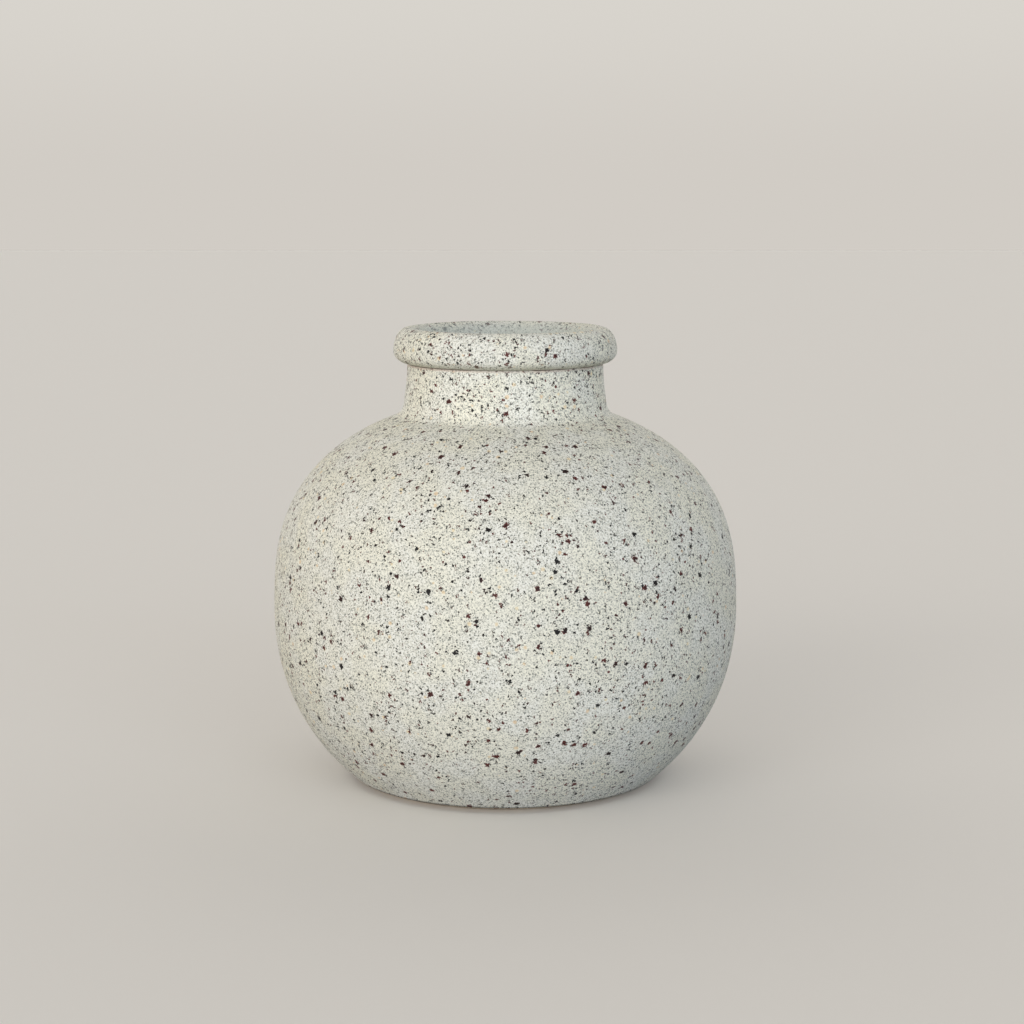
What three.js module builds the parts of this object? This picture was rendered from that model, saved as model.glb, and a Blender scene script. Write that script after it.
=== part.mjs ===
// Round-bellied stoneware vase with a short neck and a rolled rim.
//
// The vase is a body of revolution about Z, in millimetres, with +Z up. Its origin is the middle of
// the foot, on the surface that the vase stands on.
//
// One line, the skin line, runs from the lower edge of the glaze up the belly, round the rim and
// down the inside to the middle of the floor. The three solids all come from it: the speckled
// glaze is the layer under its outer stretch, the liner glaze is the layer under its inner
// stretch, and the stoneware body is what lies under both.

import * as THREE from 'three';

// Overall sizes.
const overallHeight = 105;
const bellyDiameter = 108;
const neckDiameter = 45.4;

// Belly: it is widest at bellyHeight and meets the foot at footDiameter. A roundness of 2 is an
// ellipse, and a larger one is fuller: the shoulder is fuller than the underside.
const bellyHeight = 0.38 * overallHeight;
const shoulderRoundness = 2.75;
const undersideRoundness = 2.09;
const footDiameter = 72.6;

// Rolled rim and neck, from the mouth down.
const rimOverhang = 3.2;
const rimHeight = 8.3;
const rimTopShare = 0.65;
const neckHeight = 8.2;
const neckFlare = 0.7;
const shoulderCrown = 0.4;
const shoulderFillet = 2.2;

// Walls.
const bellyWall = 4;
const neckWall = 3.8;
const floorHeight = 6.5;
const floorCorner = 7;
const innerFillet = 3;

// Foot: the glaze stops footLift above the table, and a ring set in from its edge carries the vase.
const footLift = 1;
const footInset = 2.4;
const footRingWidth = 5.5;
const footEdge = 0.25;
const footRecess = 2;

// Glaze layers, and the hairline that keeps them apart from the clay as separate solids.
const glazeThickness = 0.4;
const glazeLap = 8;
const lapGap = 0.3;
const bondGap = 0.05;

// Faceting. The belly's steps are counted on each side of its widest ring.
const turns = 48;
const bellySteps = 10;
const innerBellySteps = 7;
const neckSteps = 3;
const filletSteps = 3;
const rimSteps = 10;
const lipSteps = 4;
const cornerSteps = 3;

// Sizes that follow from the ones above.
const neckRadius = neckDiameter / 2;
const rimRadius = neckRadius + rimOverhang;
const boreRadius = neckRadius - neckWall;
const rollRadius = (rimRadius + boreRadius) / 2;
const rollHalfWidth = (rimRadius - boreRadius) / 2;
const seamHeight = overallHeight - rimHeight;
const rollHeight = overallHeight - rimTopShare * rimHeight;
const neckFootHeight = seamHeight - neckHeight;

// The outer belly curve reaches crownReach above its widest ring and rootReach below it before it
// would close on the axis. rootReach is the one that puts footDiameter at the edge of the foot.
const crownReach = neckFootHeight + shoulderCrown - bellyHeight;
const footShare = footDiameter / bellyDiameter;
const rootReach = (bellyHeight - footLift) / (1 - footShare ** 2) ** (1 / undersideRoundness);

const outerBelly = { radius: bellyDiameter / 2, up: crownReach, down: rootReach };
const innerBelly = {
  radius: outerBelly.radius - bellyWall,
  up: crownReach - bellyWall,
  down: rootReach - bellyWall,
};

function point(radius, height) {
  return new THREE.Vector2(radius, height);
}

// A point on a belly curve. The angle is 0 at the widest ring and positive above it.
function bellyPoint(belly, angle) {
  const reach = angle > 0 ? belly.up : belly.down;
  const roundness = angle > 0 ? shoulderRoundness : undersideRoundness;
  const rise = reach * Math.abs(Math.sin(angle)) ** (2 / roundness);
  return point(belly.radius * Math.cos(angle), bellyHeight + Math.sign(angle) * rise);
}

// The angle at which a belly curve has the given radius. It is taken above the widest ring.
function angleAtRadius(belly, radius) {
  return Math.acos(radius / belly.radius);
}

// The angle at which a belly curve passes the given height, below the widest ring.
function angleAtHeight(belly, height) {
  const share = (bellyHeight - height) / belly.down;
  return -Math.asin(share ** (undersideRoundness / 2));
}

// The stretch of a belly curve between two angles.
class BellyCurve extends THREE.Curve {
  constructor(belly, fromAngle, toAngle) {
    super();
    this.belly = belly;
    this.fromAngle = fromAngle;
    this.toAngle = toAngle;
  }

  getPoint(share) {
    return bellyPoint(this.belly, THREE.MathUtils.lerp(this.fromAngle, this.toAngle, share));
  }
}

// Evenly spaced points on a belly curve, from one angle through the widest ring to another.
function bellyStretch(belly, fromAngle, toAngle, steps) {
  return [
    ...new BellyCurve(belly, fromAngle, 0).getSpacedPoints(steps),
    ...new BellyCurve(belly, 0, toAngle).getSpacedPoints(steps).slice(1),
  ];
}

// A smooth bend that leaves one point and reaches another, heading for the corner between them.
// The two end points aren't returned, since the stretches on either side hold them.
function bend(from, corner, to, steps) {
  const curve = new THREE.QuadraticBezierCurve(from, corner, to);
  return curve.getPoints(steps).slice(1, -1);
}

// Where the line through two points of a curve reaches the given radius.
function reachRadius(before, last, radius) {
  const slope = (last.y - before.y) / (last.x - before.x);
  return point(radius, last.y + slope * (radius - last.x));
}

// The neck, from the shoulder up to the crease under the rim. It flares a little downwards.
function neckStretch() {
  const points = [];
  for (let i = 0; i <= neckSteps; i += 1) {
    const drop = 1 - i / neckSteps;
    points.push(point(neckRadius + neckFlare * drop ** 2, seamHeight - drop * neckHeight));
  }
  return points;
}

// The rolled rim, from the crease up round its outside to the top, then down into the bore.
function rimStretch() {
  const topReach = overallHeight - rollHeight;
  const underReach = rollHeight - seamHeight;
  const creaseAngle = -Math.acos((neckRadius - rollRadius) / rollHalfWidth);
  const points = [];
  for (let i = 1; i <= rimSteps + lipSteps; i += 1) {
    const angle = i <= rimSteps
      ? THREE.MathUtils.lerp(creaseAngle, Math.PI / 2, i / rimSteps)
      : THREE.MathUtils.lerp(Math.PI / 2, Math.PI, (i - rimSteps) / lipSteps);
    const reach = angle > 0 ? topReach : underReach;
    points.push(point(
      rollRadius + rollHalfWidth * Math.cos(angle),
      rollHeight + reach * Math.sin(angle),
    ));
  }
  return points;
}

// The outer stretch of the skin line: foot edge, belly, shoulder, neck, rim and the lap in the bore.
function outerLine() {
  const filletRadius = neckRadius + neckFlare + shoulderFillet;
  const footAngle = angleAtHeight(outerBelly, footLift);
  const neckAngle = angleAtRadius(outerBelly, filletRadius);
  const belly = bellyStretch(outerBelly, footAngle, neckAngle, bellySteps);
  const neck = neckStretch();
  const corner = reachRadius(...belly.slice(-2), neck[0].x);
  const fillet = bend(belly.at(-1), corner, neck[0], filletSteps);
  return [...belly, ...fillet, ...neck, ...rimStretch(), point(boreRadius, overallHeight - glazeLap)];
}

// The inner stretch of the skin line: bore, inside of the shoulder, belly, and floor to the axis.
function innerLine() {
  const topAngle = angleAtRadius(innerBelly, boreRadius + innerFillet);
  const wallEnd = floorHeight + floorCorner;
  const bottomAngle = angleAtHeight(innerBelly, wallEnd);
  const belly = bellyStretch(innerBelly, topAngle, bottomAngle, innerBellySteps);
  const boreEnd = point(boreRadius, belly[0].y + innerFillet);
  const boreCorner = reachRadius(belly[1], belly[0], boreRadius);
  const floorCornerPoint = bellyPoint(innerBelly, angleAtHeight(innerBelly, floorHeight));
  const floorStart = point(floorCornerPoint.x - floorCorner, floorHeight);
  return [
    boreEnd,
    ...bend(boreEnd, boreCorner, belly[0], filletSteps),
    ...belly,
    ...bend(belly.at(-1), floorCornerPoint, floorStart, cornerSteps),
    floorStart,
    point(0, floorHeight),
  ];
}

// The line moved sideways by a distance, to its left as it runs, which is into the clay.
// A point on the axis stays on the axis.
function offsetLine(points, distance) {
  const leftOf = (a, b) => point(a.y - b.y, b.x - a.x).normalize();
  return points.map((here, i) => {
    const before = i > 0 ? leftOf(points[i - 1], here) : leftOf(here, points[1]);
    const after = i < points.length - 1 ? leftOf(here, points[i + 1]) : before;
    const middle = before.clone().add(after).normalize();
    const moved = here.clone().addScaledVector(middle, distance / middle.dot(after));
    return here.x === 0 ? point(0, moved.y) : moved;
  });
}

// The underside of the clay, from its axis out over the recess and the foot ring to the skin line.
function footLine() {
  const ringOuter = footDiameter / 2 - footInset;
  const ringInner = ringOuter - footRingWidth;
  return [
    point(0, footRecess),
    point(ringInner - footRecess, footRecess),
    point(ringInner - footEdge, footEdge),
    point(ringInner, 0),
    point(ringOuter - footEdge, 0),
    point(ringOuter, footEdge),
    point(ringOuter, footLift),
    point(footDiameter / 2 - glazeThickness, footLift),
  ];
}

function turnedMesh(name, profile, material) {
  const geometry = new THREE.LatheGeometry(profile, turns);
  geometry.rotateX(Math.PI / 2);
  const mesh = new THREE.Mesh(geometry, material);
  mesh.name = name;
  return mesh;
}

// The fired clay: wall, neck, rolled rim, floor and foot ring in one piece.
function stonewareBody() {
  const skin = offsetLine([...outerLine(), ...innerLine()], glazeThickness + bondGap);
  const material = new THREE.MeshStandardMaterial({ color: 0xb9ab96, roughness: 0.95, metalness: 0 });
  return turnedMesh('stoneware_body', [...footLine(), ...skin], material);
}

// The matt speckled glaze: a layer over the whole outside, over the rim and a little way inside.
function speckledGlaze() {
  const line = outerLine();
  const under = offsetLine(line, glazeThickness).reverse();
  const material = new THREE.MeshStandardMaterial({ color: 0xdbdcd1, roughness: 0.85, metalness: 0 });
  return turnedMesh('speckled_glaze', [...line, ...under, line[0]], material);
}

// The smoother liner glaze that makes the inside watertight, from below the lap down to the floor.
function linerGlaze() {
  const start = point(boreRadius, overallHeight - glazeLap - lapGap);
  const line = [start, ...innerLine()];
  const under = offsetLine(line, glazeThickness).reverse();
  const material = new THREE.MeshStandardMaterial({ color: 0xb4bcbb, roughness: 0.5, metalness: 0 });
  return turnedMesh('liner_glaze', [...under, ...line], material);
}

const vase = new THREE.Group();
vase.name = 'round_vase';
vase.add(stonewareBody());
vase.add(speckledGlaze());
vase.add(linerGlaze());

export default vase;
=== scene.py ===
"""Round-bellied stoneware vase with a rolled rim and a matt speckled glaze.

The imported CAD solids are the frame. Each one is replaced by a finer turned piece that follows the
same outline: the speckled glaze outside, the clay body that shows at the foot, and the liner glaze
inside. Outlines are in millimetres, as (radius, height) pairs; meshes are in metres. The vase
stands on the floor at the origin, with +Z up.
"""
import math

import bpy
import numpy as np
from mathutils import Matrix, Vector, noise


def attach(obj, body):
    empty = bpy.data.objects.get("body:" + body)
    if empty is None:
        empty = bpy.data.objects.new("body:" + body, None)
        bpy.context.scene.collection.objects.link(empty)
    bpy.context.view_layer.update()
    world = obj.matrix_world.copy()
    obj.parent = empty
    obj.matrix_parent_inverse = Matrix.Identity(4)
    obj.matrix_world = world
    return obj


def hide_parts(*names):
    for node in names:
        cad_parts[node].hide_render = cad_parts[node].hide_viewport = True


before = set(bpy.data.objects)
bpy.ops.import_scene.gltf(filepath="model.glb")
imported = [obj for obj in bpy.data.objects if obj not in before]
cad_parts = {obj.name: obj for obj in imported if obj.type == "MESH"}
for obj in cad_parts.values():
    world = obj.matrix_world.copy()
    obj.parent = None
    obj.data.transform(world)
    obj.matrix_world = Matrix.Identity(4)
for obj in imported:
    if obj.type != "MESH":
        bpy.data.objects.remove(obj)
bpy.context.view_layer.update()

MM = 0.001

# Sizes of the CAD solids.
OVERALL_HEIGHT = 105
BELLY_DIAMETER = 108
NECK_DIAMETER = 45.4
BELLY_HEIGHT = 0.38 * OVERALL_HEIGHT
SHOULDER_ROUNDNESS = 2.75
UNDERSIDE_ROUNDNESS = 2.09
FOOT_DIAMETER = 72.6
RIM_OVERHANG = 3.2
RIM_HEIGHT = 8.3
RIM_TOP_SHARE = 0.65
NECK_HEIGHT = 8.2
NECK_FLARE = 0.7
SHOULDER_CROWN = 0.4
SHOULDER_FILLET = 2.2
BELLY_WALL = 4
NECK_WALL = 3.8
FLOOR_HEIGHT = 6.5
FLOOR_CORNER = 7
INNER_FILLET = 3
FOOT_LIFT = 1
FOOT_INSET = 2.4
FOOT_RING_WIDTH = 5.5
FOOT_RECESS = 2
GLAZE_THICKNESS = 0.4
GLAZE_LAP = 8
BOND_GAP = 0.05

# Sizes that follow from them.
NECK_RADIUS = NECK_DIAMETER / 2
RIM_RADIUS = NECK_RADIUS + RIM_OVERHANG
BORE_RADIUS = NECK_RADIUS - NECK_WALL
ROLL_RADIUS = (RIM_RADIUS + BORE_RADIUS) / 2
ROLL_HALF_WIDTH = (RIM_RADIUS - BORE_RADIUS) / 2
ROLL_HEIGHT = OVERALL_HEIGHT - RIM_TOP_SHARE * RIM_HEIGHT
CREASE_HEIGHT = OVERALL_HEIGHT - RIM_HEIGHT
NECK_FOOT_HEIGHT = CREASE_HEIGHT - NECK_HEIGHT
CROWN_REACH = NECK_FOOT_HEIGHT + SHOULDER_CROWN - BELLY_HEIGHT
FOOT_SHARE = FOOT_DIAMETER / BELLY_DIAMETER
ROOT_REACH = (BELLY_HEIGHT - FOOT_LIFT) / (1 - FOOT_SHARE**2) ** (1 / UNDERSIDE_ROUNDNESS)
OUTER_BELLY = (BELLY_DIAMETER / 2, CROWN_REACH, ROOT_REACH)
INNER_BELLY = tuple(size - BELLY_WALL for size in OUTER_BELLY)

# Mesh fineness: columns round the axis, the spacing of the rows, and how far a hidden surface may
# stray from its curve.
COLUMNS = 320
SHOWN_SPACING = 0.8
RIM_SPACING = 0.45
INNER_SPACING = 0.9
RECESS_SPACING = 0.35
HIDDEN_STRAY = 0.012

# The bake map: its empty margin, and the width of the strip that holds what is hidden.
MAP_MARGIN = 0.006
MAP_STRIP = 0.04

# Hand-made unevenness: heights of the waves by their length, and how far the shown surface is
# set in to leave room for them inside the CAD box.
WAVES = {24: 0.06, 8: 0.025, 2.6: 0.012}
SET_IN = 0.1

# The tooled line where the rim is rolled over onto the neck.
CREASE_DEPTH = 0.09
CREASE_WIDTH = 0.45

# Ridges inside from throwing. They begin RING_START down the bore and end at the axis, and
# RING_FADE is the distance over which they grow at one end and die away at the other.
RING_HEIGHT = 0.35
RING_SPACING = 5.2
RING_START = 12
RING_FADE = 8

# The rounded edges of the foot ring, and the rings that turning has left in its recess.
FOOT_EDGE = 0.6
MARK_DEPTH = 0.14
MARK_SPACING = 2.1

# The room's light by direction: straight down is 0, the horizon 0.5 and straight up 1. The tint
# multiplies it, and the side behind the vase is brighter by BACK_GAIN.
ROOM_LIGHT = {0.0: 0.0, 0.49: 0.0, 0.5: 0.63, 0.78: 0.63, 0.95: 0.12}
ROOM_TINT = (1.03, 1, 0.94)
BACK_GAIN = 2.5
FLOOR_REACH = 4.0

# The photograph's viewpoint: lens and sensor in millimetres, place in metres, and how far the
# camera looks down and turns, in degrees.
CAMERA_LENS = 75.6
CAMERA_SENSOR = 36
CAMERA_PLACE = (0, -0.496, 0.1376)
CAMERA_DIP = 8.69
CAMERA_TURN = -0.18


# ---------------------------------------------------------------- outlines

def polyline(*parts):
    """One line through points and lines of points."""
    return np.vstack([np.atleast_2d(part) for part in parts])


def arc(centre, half_width, half_height, start, end, steps=60):
    """A stretch of an ellipse, with its angles in radians."""
    angle = np.linspace(start, end, steps)
    radius = centre[0] + half_width * np.cos(angle)
    height = centre[1] + half_height * np.sin(angle)
    return np.stack([radius, height], 1)


def bend(start, corner, end, steps=24):
    """A smooth bend from start to end that heads for the corner between them."""
    share = np.linspace(0, 1, steps)[:, None]
    start, corner, end = (np.asarray(p, float) for p in (start, corner, end))
    return (1 - share) ** 2 * start + 2 * share * (1 - share) * corner + share**2 * end


def distance_along(line):
    """How far along the line each of its points lies."""
    steps = np.linalg.norm(np.diff(line, axis=0), axis=1)
    return np.concatenate([[0], np.cumsum(steps)])


def evenly(line, spacing):
    """The same line with its points evenly spaced."""
    along = distance_along(line)
    count = max(int(round(along[-1] / spacing)), 1)
    at = np.linspace(0, along[-1], count + 1)
    return np.stack([np.interp(at, along, line[:, 0]), np.interp(at, along, line[:, 1])], 1)


def simplified(line, stray):
    """The line with only the points it needs to stay within a distance of its old course."""
    kept = {0, len(line) - 1}
    todo = [(0, len(line) - 1)]
    while todo:
        first, last = todo.pop()
        chord = line[last] - line[first]
        off = line[first : last + 1] - line[first]
        away = np.abs(off[:, 0] * chord[1] - off[:, 1] * chord[0]) / np.linalg.norm(chord)
        worst = first + int(away.argmax())
        if away.max() > stray:
            kept.add(worst)
            todo += [(first, worst), (worst, last)]
    return line[sorted(kept)]


def left_of(line):
    """The direction to the left of a line at each of its points."""
    way = np.gradient(line, axis=0)
    left = np.stack([-way[:, 1], way[:, 0]], 1)
    return left / np.linalg.norm(left, axis=1, keepdims=True)


def moved_left(line, distance):
    """The line moved sideways. Points on the axis stay on it."""
    moved = line + distance * left_of(line)
    moved[line[:, 0] == 0, 0] = 0
    return moved


def belly_line(belly, start, end, steps=400):
    """A belly curve between two angles. The widest ring is at 0, and the shoulder is above it."""
    radius, up, down = belly
    angle = np.linspace(start, end, steps)
    above = angle > 0
    reach = np.where(above, up, -down)
    roundness = np.where(above, SHOULDER_ROUNDNESS, UNDERSIDE_ROUNDNESS)
    rise = reach * np.abs(np.sin(angle)) ** (2 / roundness)
    return np.stack([radius * np.cos(angle), BELLY_HEIGHT + rise], 1)


def belly_angle(belly, radius=None, height=None):
    """The angle above the widest ring with this radius, or below it at this height."""
    if radius is not None:
        return math.acos(radius / belly[0])
    share = (BELLY_HEIGHT - height) / belly[2]
    return -math.asin(share ** (UNDERSIDE_ROUNDNESS / 2))


def reach_radius(line, radius):
    """Where the line, carried on straight past its end, has this radius."""
    (r0, z0), (r1, z1) = line[-2:]
    return (radius, z1 + (z1 - z0) / (r1 - r0) * (radius - r1))


def neck_line(steps=20):
    """The neck from the shoulder up to the crease. It flares a little downwards."""
    drop = np.linspace(1, 0, steps)
    radius = NECK_RADIUS + NECK_FLARE * drop**2
    height = CREASE_HEIGHT - drop * NECK_HEIGHT
    return np.stack([radius, height], 1)


def rim_line():
    """The rolled rim from the crease round its outside and over the top into the bore."""
    centre = (ROLL_RADIUS, ROLL_HEIGHT)
    crease = -math.acos((NECK_RADIUS - ROLL_RADIUS) / ROLL_HALF_WIDTH)
    under = arc(centre, ROLL_HALF_WIDTH, ROLL_HEIGHT - CREASE_HEIGHT, crease, 0)
    over = arc(centre, ROLL_HALF_WIDTH, OVERALL_HEIGHT - ROLL_HEIGHT, 0, math.pi)
    return polyline(under, over[1:])


def outer_line():
    """The outside of the vase as two lines: from foot to neck, then the rim and its lap."""
    fillet_radius = NECK_RADIUS + NECK_FLARE + SHOULDER_FILLET
    belly = belly_line(
        OUTER_BELLY,
        belly_angle(OUTER_BELLY, height=FOOT_LIFT),
        belly_angle(OUTER_BELLY, radius=fillet_radius),
    )
    neck = neck_line()
    fillet = bend(belly[-1], reach_radius(belly, neck[0, 0]), neck[0])
    lap = (BORE_RADIUS, OVERALL_HEIGHT - GLAZE_LAP)
    return polyline(belly, fillet[1:-1], neck), polyline(rim_line(), lap)


def inner_line():
    """The inside of the vase: bore, belly, and floor to the axis."""
    top = belly_angle(INNER_BELLY, radius=BORE_RADIUS + INNER_FILLET)
    bottom = belly_angle(INNER_BELLY, height=FLOOR_HEIGHT + FLOOR_CORNER)
    belly = belly_line(INNER_BELLY, top, bottom)
    bore_end = (BORE_RADIUS, belly[0, 1] + INNER_FILLET)
    bore_corner = reach_radius(belly[1::-1], BORE_RADIUS)
    floor_angle = belly_angle(INNER_BELLY, height=FLOOR_HEIGHT)
    wall_foot = belly_line(INNER_BELLY, floor_angle, floor_angle, 1)[0]
    floor_start = (wall_foot[0] - FLOOR_CORNER, FLOOR_HEIGHT)
    return polyline(
        bend(bore_end, bore_corner, belly[0]),
        belly[1:],
        bend(belly[-1], wall_foot, floor_start)[1:],
        (0, FLOOR_HEIGHT),
    )


def tooled_crease(line):
    """The outline with a fine groove cut where the neck meets the rim."""
    off = np.linalg.norm(line - (NECK_RADIUS, CREASE_HEIGHT), axis=1)
    depth = CREASE_DEPTH * np.exp(-((2 * off / CREASE_WIDTH) ** 2))
    grooved = line.copy()
    grooved[:, 0] -= depth
    return grooved


def throwing_rings(line):
    """The inner line with the soft ridges that the potter's fingers leave."""
    along = distance_along(line)
    fade = np.clip(np.minimum(along - RING_START, along[-1] - along) / RING_FADE, 0, 1)
    rise = RING_HEIGHT * fade * (1 - np.cos(2 * math.pi * along / RING_SPACING)) / 2
    moved = line - rise[:, None] * left_of(line)
    moved[line[:, 0] == 0, 0] = 0
    return moved


def turning_marks(line):
    """The line of the recess with the shallow rings that a turning tool leaves."""
    marked = line.copy()
    marked[:, 1] += MARK_DEPTH * (1 - np.cos(2 * math.pi * line[:, 0] / MARK_SPACING)) / 2
    return marked


def foot_line():
    """The underside of the clay: the turned recess, the rounded foot ring, and out to the skin."""
    ring_outer = FOOT_DIAMETER / 2 - FOOT_INSET
    ring_inner = ring_outer - FOOT_RING_WIDTH
    recess_end = (ring_inner - FOOT_RECESS, FOOT_RECESS)
    inner_edge = (ring_inner - FOOT_EDGE, FOOT_EDGE)
    inner_corner = (ring_inner - FOOT_EDGE, FOOT_RECESS)
    return polyline(
        turning_marks(evenly(np.array([(0, FOOT_RECESS), recess_end]), RECESS_SPACING)),
        bend(recess_end, inner_corner, inner_edge, 7)[1:],
        arc((ring_inner, FOOT_EDGE), FOOT_EDGE, FOOT_EDGE, math.pi, 1.5 * math.pi, 6)[1:],
        arc((ring_outer - FOOT_EDGE, FOOT_EDGE), FOOT_EDGE, FOOT_EDGE, -math.pi / 2, 0, 6),
        (ring_outer, FOOT_LIFT),
        (FOOT_DIAMETER / 2 - GLAZE_THICKNESS, FOOT_LIFT),
    )


# ---------------------------------------------------------------- turned meshes

def wavy(place):
    """How far hand-made unevenness moves the surface out at a place."""
    return sum(
        height * noise.noise(Vector(place) / length + Vector((length, 0, 7)))
        for length, height in WAVES.items()
    )


def turned(name, outline, shown, seen_material, hidden_material=None, uneven=False):
    """A closed body of revolution, from the ring of points that is its outline.

    The first shown points of the outline make the surface that is seen. The rest is hidden
    against the next layer.
    """
    places, rings = turned_places(outline)
    if uneven:
        set_uneven(places, outline, rings, shown)
    faces, cells, corners = turned_faces(outline, rings)
    hidden = [row >= shown - 1 for row, _ in cells]
    mesh = bpy.data.meshes.new(name)
    mesh.from_pydata(places * MM, [], faces)
    mesh.polygons.foreach_set("use_smooth", [True] * len(faces))
    lay_out(mesh, outline, cells, corners, shown)
    mesh.materials.append(seen_material)
    if hidden_material:
        mesh.materials.append(hidden_material)
        mesh.polygons.foreach_set("material_index", hidden)
    mesh.validate()
    piece = bpy.data.objects.new(name, mesh)
    bpy.context.scene.collection.objects.link(piece)
    return piece


def turned_places(outline):
    """The points of a turned mesh, and the numbers of the points in each row.

    A row on the axis is a single point, which all its columns share.
    """
    angle = np.linspace(0, 2 * math.pi, COLUMNS, endpoint=False)
    around = np.stack([np.cos(angle), np.sin(angle)], 1)
    rings = []
    places = []
    for radius, height in outline:
        first = len(places)
        if radius > 0:
            places.extend((radius * x, radius * y, height) for x, y in around)
            rings.append(range(first, first + COLUMNS))
        else:
            places.append((0, 0, height))
            rings.append([first] * COLUMNS)
    return np.array(places), rings


def turned_faces(outline, rings):
    """The faces of a turned mesh, the row and column of each face, and those of its corners."""
    on_axis = outline[:, 0] == 0
    faces = []
    cells = []
    where = []
    for i in range(len(outline)):
        after = (i + 1) % len(outline)
        if on_axis[i] and on_axis[after]:
            continue
        low = rings[i]
        high = rings[after]
        for j in range(COLUMNS):
            k = (j + 1) % COLUMNS
            corners = [
                (low[j], i, j),
                (low[k], i, j + 1),
                (high[k], i + 1, j + 1),
                (high[j], i + 1, j),
            ]
            if on_axis[i]:
                corners = corners[1:]
            elif on_axis[after]:
                corners = corners[:3]
            faces.append([corner[0] for corner in corners])
            cells.append((i, j))
            where.append([corner[1:] for corner in corners])
    return faces, cells, where


def set_uneven(places, outline, rings, shown):
    """Moves the shown surface in a little, and in and out by hand-made unevenness."""
    outward = -left_of(outline)
    for i in range(shown):
        out_r, out_z = outward[i]
        for at in rings[i]:
            x, y, z = places[at]
            radius = math.hypot(x, y)
            move = wavy((x, y, z)) - SET_IN
            places[at] += (move * out_r * x / radius, move * out_r * y / radius, move * out_z)


def lay_out(mesh, outline, cells, corners, shown):
    """The map that the export bakes through.

    Two half turns of the shown surface lie one above the other and fill most of it. A narrow
    strip beside them holds what is hidden.
    """
    face_row, face_column = np.repeat(cells, [len(face) for face in corners], axis=0).T
    row, column = np.vstack(corners).T
    along = distance_along(polyline(outline, outline[0]))
    height = along[row]
    shown_height = along[shown - 1]
    hidden_height = along[-1] - shown_height
    fill = 1 - 2 * MAP_MARGIN
    half_turn = COLUMNS / 2
    half = (face_column >= half_turn).astype(int)
    u_shown = MAP_MARGIN + (column - half * half_turn) / half_turn * (1 - MAP_STRIP - 3 * MAP_MARGIN)
    v_shown = (half + MAP_MARGIN + fill * height / shown_height) / 2
    u_hidden = 1 - MAP_MARGIN - MAP_STRIP * column / COLUMNS
    v_hidden = MAP_MARGIN + fill * (height - shown_height) / hidden_height
    seen = face_row < shown - 1
    u = np.where(seen, u_shown, u_hidden)
    v = np.where(seen, v_shown, v_hidden)
    layer = mesh.uv_layers.new(name="OFBake")
    layer.uv.foreach_set("vector", np.stack([u, v], 1).astype(np.float32).ravel())


# ---------------------------------------------------------------- material tools

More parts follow.
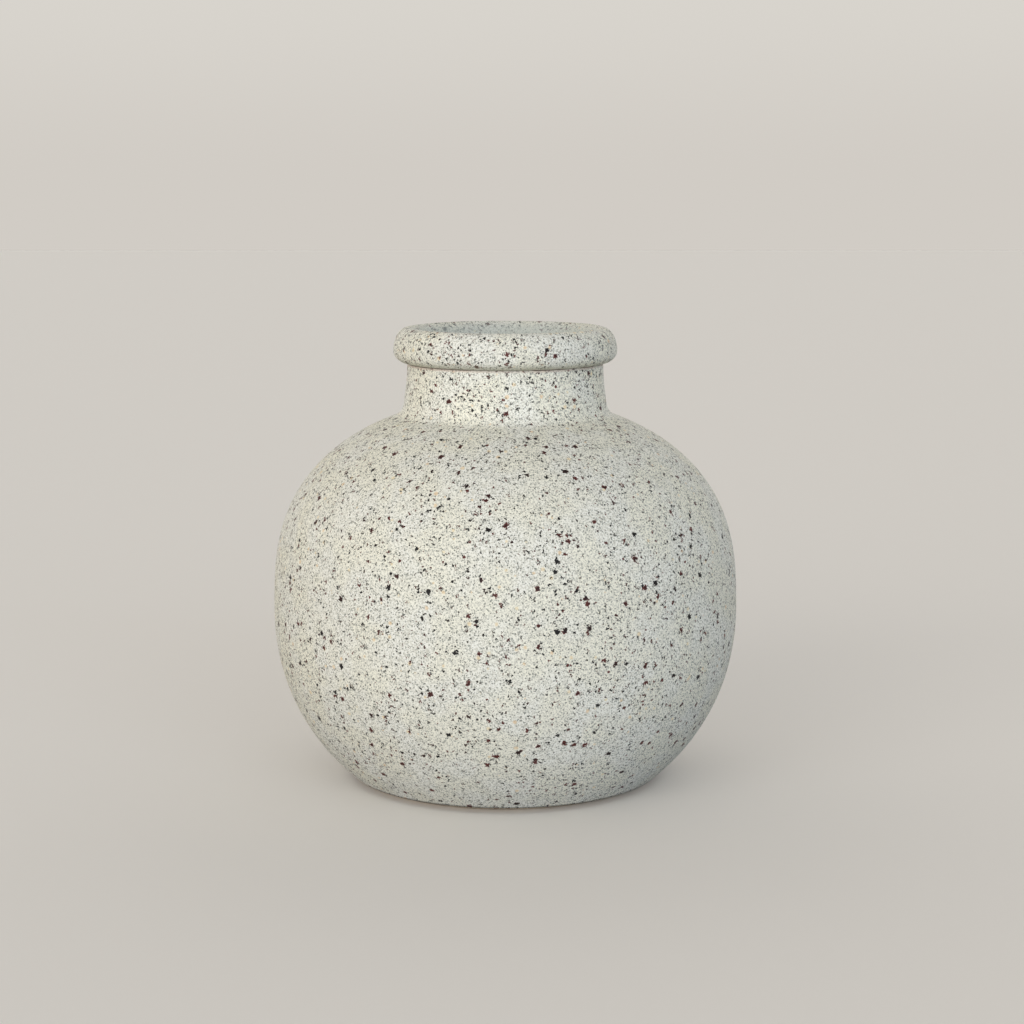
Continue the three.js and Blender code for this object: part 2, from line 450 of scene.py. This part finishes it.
class Shader:
    """A material being built. Sizes, heights, spacings and reaches are given in millimetres."""

    def __init__(self, name):
        self.material = bpy.data.materials.new(name)
        self.material.use_nodes = True
        self.tree = self.material.node_tree
        self.surface = self.tree.nodes["Principled BSDF"]
        self.place = self.node("ShaderNodeTexCoord").outputs["Object"]

    def node(self, kind, inputs=(), **settings):
        """Adds a node, and sets or links its inputs."""
        made = self.tree.nodes.new(kind)
        for name, value in settings.items():
            setattr(made, name, value)
        for key, value in dict(inputs).items():
            self.feed(made.inputs[key], value)
        return made

    def feed(self, socket, value):
        """Links an input to an output, or sets it to a plain value."""
        if isinstance(value, bpy.types.NodeSocket):
            self.tree.links.new(value, socket)
        else:
            socket.default_value = value

    def shade(self, name, value):
        """Links or sets one of the surface's own inputs."""
        self.feed(self.surface.inputs[name], value)

    def bump(self, rise, height, strength=1.0):
        """Roughens the surface by up to a height where the rise is 1."""
        made = self.node(
            "ShaderNodeBump",
            {"Strength": strength, "Distance": height * MM, "Height": rise},
        )
        self.shade("Normal", made.outputs["Normal"])

    def maths(self, operation, a, b=0.0):
        """One step of arithmetic."""
        made = self.node("ShaderNodeMath", operation=operation)
        self.feed(made.inputs[0], a)
        self.feed(made.inputs[1], b)
        return made.outputs[0]

    def mix(self, share, a, b):
        """Colour a where the share is 0, and colour b where it is 1."""
        made = self.node("ShaderNodeMix", data_type="RGBA")
        self.feed(made.inputs["Factor"], share)
        self.feed(made.inputs["A"], a)
        self.feed(made.inputs["B"], b)
        return made.outputs["Result"]

    def ramp(self, value, low, high, to_low=0.0, to_high=1.0, smooth=True):
        """Maps low..high to to_low..to_high, and holds outside."""
        made = self.node(
            "ShaderNodeMapRange",
            {"Value": value, "From Min": low, "From Max": high, "To Min": to_low, "To Max": to_high},
            interpolation_type="SMOOTHSTEP" if smooth else "LINEAR",
        )
        return made.outputs["Result"]

    def noise_node(self, size, detail, roughness):
        """Noise with features of the given size."""
        return self.node(
            "ShaderNodeTexNoise",
            {
                "Vector": self.place,
                "Scale": 1 / (size * MM),
                "Detail": detail,
                "Roughness": roughness,
            },
        )

    def cloud(self, size, detail=2.0, roughness=0.5):
        """Soft patches of the given size, as a number from about 0 to 1."""
        return self.noise_node(size, detail, roughness).outputs["Fac"]

    def shaken(self, size, reach):
        """The place, moved at random by up to about reach, so that round grains turn ragged."""
        # The noise strays from its middle by about a quarter, so four times that is the reach.
        wander = self.noise_node(size, detail=1.0, roughness=0.5).outputs["Color"]
        centred = self.node(
            "ShaderNodeVectorMath",
            {0: wander, 1: (0.5, 0.5, 0.5)},
            operation="SUBTRACT",
        )
        scaled = self.node(
            "ShaderNodeVectorMath",
            {0: centred.outputs[0], "Scale": 4 * reach * MM},
            operation="SCALE",
        )
        moved = self.node(
            "ShaderNodeVectorMath",
            {0: self.place, 1: scaled.outputs[0]},
            operation="ADD",
        )
        return moved.outputs[0]

    def grains(self, place, spacing, share, radius):
        """Scattered grains: how deep inside one a place lies, and a random number for each grain.

        One grain may lie in each cell of the given spacing. The share says how many cells have
        one, and radius is its smallest and largest size. The depth is in millimetres too, and
        is below zero outside the grains.
        """
        cells = self.node(
            "ShaderNodeTexVoronoi",
            {"Vector": place, "Scale": 1 / (spacing * MM), "Randomness": 1.0},
            feature="F1",
        )
        parts = self.node("ShaderNodeSeparateColor", {"Color": cells.outputs["Color"]})
        chance, size, tint = parts.outputs
        reach = self.ramp(size, 0, 1, *radius, smooth=False)
        off = self.maths("MULTIPLY", cells.outputs["Distance"], spacing)
        empty = self.maths("GREATER_THAN", chance, share)
        depth = self.maths("SUBTRACT", self.maths("SUBTRACT", reach, off), empty)
        return depth, tint


def srgb(red, green, blue):
    """A colour from its 0 to 255 screen values."""
    def linear(value):
        value /= 255
        return value / 12.92 if value <= 0.04045 else ((value + 0.055) / 1.055) ** 2.4
    return (linear(red), linear(green), linear(blue), 1)


# ---------------------------------------------------------------- materials

def speckled_glaze():
    """Ivory matt glaze: soft mottling, a dense grey fleck, dark iron grains and a few pale ones."""
    look = Shader("speckled_matt_glaze")
    height, radius = height_and_radius(look)
    colour, dark = iron_grains(look, flecked_ivory(look), height)
    # Over the rim and down into the bore the glaze is painted bluer: painted shade, for the bluish
    # room light inside the mouth.
    bore = look.ramp(radius, (BORE_RADIUS + 0.6) * MM, (ROLL_RADIUS - 0.4) * MM, 0.6, 0)
    colour = look.mix(bore, colour, srgb(196, 204, 201))
    colour = crease_colour_and_rim_shade(look, colour, height, radius)
    sand = look.cloud(0.45, roughness=0.6)
    rise = look.maths("ADD", look.maths("MULTIPLY", sand, 0.6), look.maths("MULTIPLY", dark, 0.5))
    look.shade("Base Color", colour)
    look.shade("Roughness", look.ramp(dark, 0, 1, 0.86, 0.6))
    look.shade("Specular IOR Level", 0.3)
    look.bump(rise, height=0.05)
    return look.material


def flecked_ivory(look):
    """The ground of the glaze: mottled ivory, a dense grey fleck and scattered pale spots."""
    ragged = look.shaken(0.35, 0.1)
    patches = look.ramp(look.cloud(9), 0.38, 0.62)
    mottle = look.ramp(look.cloud(0.36, detail=1), 0.36, 0.6)
    bright = look.mix(patches, srgb(245, 243, 228), srgb(243, 243, 236))
    ivory = look.mix(mottle, srgb(210, 209, 199), bright)

    fleck, tint = look.grains(ragged, spacing=0.42, share=0.8, radius=(0.1, 0.235))
    fleck_colour = look.mix(tint, srgb(74, 80, 77), srgb(165, 169, 162))
    colour = look.mix(look.ramp(fleck, 0, 0.06, 0, 0.85), ivory, fleck_colour)

    spot, tint = look.grains(ragged, spacing=1.9, share=0.3, radius=(0.25, 0.62))
    spot_colour = look.mix(tint, srgb(240, 224, 186), srgb(230, 198, 158))
    return look.mix(look.ramp(spot, 0, 0.25, 0, 0.7), colour, spot_colour)


def iron_grains(look, colour, height):
    """The colour with iron grains over it, and how far each place is covered by them.

    The grains gather here and there, and small ones gather round the large ones and on the neck
    and rim. They are near black, with maroon in some small ones and where a large one is thin.
    """
    black = srgb(14, 13, 15)
    maroon = srgb(96, 46, 42)
    torn = look.shaken(0.5, 0.3)
    crowding = look.ramp(look.cloud(3.2, detail=1), 0.36, 0.66, 0.55, 1.0)
    large_share = look.maths("MULTIPLY", crowding, 0.6)
    large, large_tint = look.grains(torn, spacing=2.1, share=large_share, radius=(0.3, 0.66))

    sprayed_from = (NECK_FOOT_HEIGHT - 6) * MM
    sprayed_to = (NECK_FOOT_HEIGHT + 2) * MM
    sprayed = look.ramp(height, sprayed_from, sprayed_to, 0.24, 0.4)
    near_large = look.ramp(large, -0.6, 0, 0, 0.8)
    small_share = look.maths("MAXIMUM", look.maths("MULTIPLY", crowding, sprayed), near_large)
    small, small_tint = look.grains(torn, spacing=0.66, share=small_share, radius=(0.17, 0.37))

    small_mask = look.ramp(small, 0, 0.05)
    small_colour = look.mix(look.ramp(small_tint, 0.55, 0.95), black, maroon)
    large_mask = look.ramp(large, 0, 0.08)
    edge = look.ramp(large, 0.12, 0.4, 1, 0.2)
    thin = look.maths("MULTIPLY", edge, look.ramp(large_tint, 0.15, 0.6))
    large_colour = look.mix(thin, black, maroon)
    colour = look.mix(small_mask, colour, small_colour)
    colour = look.mix(large_mask, colour, large_colour)
    return colour, look.maths("MAXIMUM", small_mask, large_mask)


def height_and_radius(look):
    """The height of a place, and its distance from the axis."""
    x, y, z = look.node("ShaderNodeSeparateXYZ", {"Vector": look.place}).outputs
    squares = look.maths("ADD", look.maths("MULTIPLY", x, x), look.maths("MULTIPLY", y, y))
    return z, look.maths("SQRT", squares)


def crease_colour_and_rim_shade(look, colour, height, radius):
    """Under the rim, a green-grey painted shade on its downward face, and along the crease below it
    the glaze has run thin: a brown line over a pink-grey one."""
    # Painted shade: green-grey on the rim's underside, fading out over 2 mm above the crease.
    above = look.maths("SUBTRACT", height, CREASE_HEIGHT * MM)
    outside = look.maths("GREATER_THAN", radius, (BORE_RADIUS + 1) * MM)
    over = look.maths("GREATER_THAN", above, 0)
    painted_rim_shade = look.maths("MULTIPLY", over, look.ramp(above, 0, 2 * MM, 0.45, 0))
    colour = look.mix(look.maths("MULTIPLY", painted_rim_shade, outside), colour, srgb(150, 148, 122))

    near = look.ramp(radius, (NECK_RADIUS + 0.2) * MM, (NECK_RADIUS + 0.6) * MM, 1, 0)
    patchy = look.ramp(look.cloud(5), 0.35, 0.6, 0.4, 0.95)
    share = look.maths("MULTIPLY", look.maths("MULTIPLY", near, outside), patchy)
    for centre, half_width, strength, tint in (
        (-0.3, 0.3, 0.6, srgb(214, 194, 182)),
        (0.02, 0.2, 1.0, srgb(112, 98, 86)),
    ):
        off = look.maths("ABSOLUTE", look.maths("SUBTRACT", above, centre * MM))
        line = look.ramp(off, 0.4 * half_width * MM, half_width * MM, strength, 0)
        colour = look.mix(look.maths("MULTIPLY", share, line), colour, tint)
    return colour


def bare_stoneware():
    """Unglazed clay: warm grey-brown, gritty, with dark iron grains."""
    look = Shader("bare_stoneware")
    grit = look.cloud(0.6, detail=3, roughness=0.6)
    patches = look.ramp(look.cloud(9, detail=3), 0.3, 0.7)
    # Partly painted shade: these clay tones sit a little darker than the clay's own buff, to darken
    # the gap under the foot.
    clay = look.mix(patches, srgb(164, 148, 128), srgb(186, 170, 148))
    clay = look.mix(look.ramp(grit, 0.35, 0.65, 0, 0.5), clay, srgb(132, 114, 96))
    grain, tint = look.grains(look.shaken(0.5, 0.12), spacing=1.5, share=0.4, radius=(0.15, 0.4))
    grain_colour = look.mix(tint, srgb(60, 50, 46), srgb(110, 72, 54))
    look.shade("Base Color", look.mix(look.ramp(grain, 0, 0.1), clay, grain_colour))
    look.shade("Roughness", look.ramp(grit, 0.3, 0.7, 0.98, 0.86))
    look.bump(grit, height=0.1)
    return look.material


def liner_glaze():
    """Smooth bluish-grey liner glaze, with a few iron grains under it."""
    look = Shader("liner_glaze")
    patches = look.cloud(10)
    mottle = look.cloud(1.2)
    base = look.mix(look.ramp(patches, 0.3, 0.7), srgb(176, 185, 183), srgb(192, 199, 194))
    base = look.mix(look.ramp(mottle, 0.4, 0.65, 0, 0.5), base, srgb(206, 210, 202))
    grain, tint = look.grains(look.shaken(0.6, 0.12), spacing=2.4, share=0.5, radius=(0.2, 0.5))
    grain_colour = look.mix(tint, srgb(58, 50, 48), srgb(104, 84, 74))
    look.shade("Base Color", look.mix(look.ramp(grain, 0, 0.16, 0, 0.75), base, grain_colour))
    look.shade("Roughness", look.ramp(patches, 0.3, 0.7, 0.42, 0.56))
    look.bump(mottle, height=0.06, strength=0.6)
    return look.material


def hidden_glaze():
    """The back of a glaze layer, where it is bonded to the clay."""
    look = Shader("glaze_bond")
    patches = look.ramp(look.cloud(12, detail=1), 0.35, 0.65)
    look.shade("Base Color", look.mix(patches, srgb(190, 184, 170), srgb(202, 198, 186)))
    look.shade("Roughness", 0.9)
    return look.material


# ---------------------------------------------------------------- pieces

def make_outer_glaze():
    """The speckled layer over the outside and the rim, down to its lap in the bore."""
    outside, rim = outer_line()
    shown = tooled_crease(
        polyline(
            evenly(outside, SHOWN_SPACING)[:-1],
            evenly(rim, RIM_SPACING),
        )
    )
    whole = polyline(outside, rim[1:])
    back = simplified(moved_left(whole, GLAZE_THICKNESS), HIDDEN_STRAY)[::-1]
    piece = turned(
        "outer_speckled_glaze",
        polyline(shown, back),
        len(shown),
        speckled_glaze(),
        hidden_glaze(),
        uneven=True,
    )
    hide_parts("speckled_glaze")
    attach(piece, "root")


def make_clay_body():
    """The fired clay, which shows only under the foot."""
    outside, rim = outer_line()
    skin = moved_left(polyline(outside, rim[1:], inner_line()), GLAZE_THICKNESS + BOND_GAP)
    foot = foot_line()
    piece = turned(
        "clay_body",
        polyline(foot, simplified(skin, HIDDEN_STRAY)),
        len(foot),
        bare_stoneware(),
    )
    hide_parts("stoneware_body")
    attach(piece, "root")


def make_liner():
    """The smooth layer inside, from just below the lap to the middle of the floor."""
    start = (BORE_RADIUS, OVERALL_HEIGHT - GLAZE_LAP - BOND_GAP)
    line = polyline(start, inner_line())
    shown = throwing_rings(evenly(line, INNER_SPACING))
    back = simplified(moved_left(line, GLAZE_THICKNESS), HIDDEN_STRAY)[::-1]
    piece = turned(
        "inner_liner_glaze",
        polyline(shown, back),
        len(shown),
        liner_glaze(),
        hidden_glaze(),
    )
    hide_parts("liner_glaze")
    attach(piece, "root")


make_outer_glaze()
make_clay_body()
make_liner()


# ---------------------------------------------------------------- studio

def make_floor():
    """A wide pale floor. Soft light passes through it, so the windows reach under the belly, and
    none bounces up from it, so the belly darkens towards the foot."""
    mesh = bpy.data.meshes.new("floor")
    mesh.from_pydata(
        [
            (-FLOOR_REACH, -FLOOR_REACH, 0),
            (FLOOR_REACH, -FLOOR_REACH, 0),
            (FLOOR_REACH, FLOOR_REACH, 0),
            (-FLOOR_REACH, FLOOR_REACH, 0),
        ],
        [],
        [(0, 1, 2, 3)],
    )
    look = Shader("floor_paint")
    look.shade("Base Color", srgb(246, 243, 240))
    look.shade("Roughness", 0.9)
    look.shade("Specular IOR Level", 0.1)
    mesh.materials.append(look.material)
    floor = bpy.data.objects.new("floor", mesh)
    floor.visible_diffuse = False
    floor.visible_shadow = False
    bpy.context.scene.collection.objects.link(floor)


def make_window(name, azimuth, elevation, angle, energy, colour):
    """A broad soft light a long way off. All angles are in degrees, and the azimuth is counted
    from the front to the right."""
    light = bpy.data.lights.new(name, "SUN")
    light.energy = energy
    light.angle = math.radians(angle)
    light.color = colour
    lamp = bpy.data.objects.new(name, light)
    turn = math.radians(azimuth)
    rise = math.radians(elevation)
    towards = Vector(
        (
            math.sin(turn) * math.cos(rise),
            -math.cos(turn) * math.cos(rise),
            math.sin(rise),
        )
    )
    lamp.rotation_mode = "QUATERNION"
    lamp.rotation_quaternion = towards.to_track_quat("Z", "Y")
    bpy.context.scene.collection.objects.link(lamp)


def colour_ramp(tree, value, stops):
    """A smooth ramp through colours at their places from 0 to 1."""
    made = tree.nodes.new("ShaderNodeValToRGB")
    ramp = made.color_ramp
    ramp.interpolation = "EASE"
    for _ in range(len(stops) - 2):
        ramp.elements.new(0.5)
    for element, (at, colour) in zip(ramp.elements, stops.items()):
        element.position = at
        element.color = colour
    tree.links.new(value, made.inputs["Fac"])
    return made.outputs["Color"]


def make_room():
    """Soft light from pale walls all round, brightest at the back, and a plain backdrop."""
    world = bpy.data.worlds.new("room")
    world.use_nodes = True
    bpy.context.scene.world = world
    tree = world.node_tree
    link = tree.links.new
    direction = tree.nodes.new("ShaderNodeTexCoord")
    parts = tree.nodes.new("ShaderNodeSeparateXYZ")
    link(direction.outputs["Generated"], parts.inputs["Vector"])
    rise = tree.nodes.new("ShaderNodeMath")
    rise.operation = "MULTIPLY_ADD"
    link(parts.outputs["Z"], rise.inputs[0])
    rise.inputs[1].default_value = 0.5
    rise.inputs[2].default_value = 0.5

    glow = {at: (*(much * part for part in ROOM_TINT), 1) for at, much in ROOM_LIGHT.items()}
    background = tree.nodes["Background"]
    link(colour_ramp(tree, rise.outputs[0], glow), background.inputs["Color"])
    behind = tree.nodes.new("ShaderNodeMapRange")
    link(parts.outputs["Y"], behind.inputs["Value"])
    behind.inputs["To Min"].default_value = 1
    behind.inputs["To Max"].default_value = BACK_GAIN
    link(behind.outputs["Result"], background.inputs["Strength"])

    # The camera sees a plain wall instead, in the floor's far colour at the horizon.
    wall = {0.5: srgb(209, 204, 197), 0.545: srgb(216, 212, 205)}
    backdrop = tree.nodes.new("ShaderNodeBackground")
    link(colour_ramp(tree, rise.outputs[0], wall), backdrop.inputs["Color"])
    seen = tree.nodes.new("ShaderNodeLightPath").outputs["Is Camera Ray"]
    mix = tree.nodes.new("ShaderNodeMixShader")
    link(seen, mix.inputs["Fac"])
    link(background.outputs[0], mix.inputs[1])
    link(backdrop.outputs[0], mix.inputs[2])
    link(mix.outputs[0], tree.nodes["World Output"].inputs["Surface"])


def make_camera():
    """The photograph's viewpoint: a little above the vase and half a metre in front of it."""
    data = bpy.data.cameras.new("camera")
    data.sensor_width = CAMERA_SENSOR
    data.lens = CAMERA_LENS
    camera = bpy.data.objects.new("camera", data)
    camera.location = CAMERA_PLACE
    camera.rotation_euler = (math.radians(90 - CAMERA_DIP), 0, math.radians(CAMERA_TURN))
    bpy.context.scene.collection.objects.link(camera)
    bpy.context.scene.camera = camera


make_floor()
make_window(
    "left_window", azimuth=-34, elevation=3, angle=56, energy=1.69, colour=(1.0, 0.945, 0.865)
)
make_window(
    "right_window", azimuth=26, elevation=3, angle=56, energy=0.98, colour=(0.72, 0.85, 1.0)
)
make_room()
make_camera()
bpy.context.scene.view_settings.view_transform = "Standard"
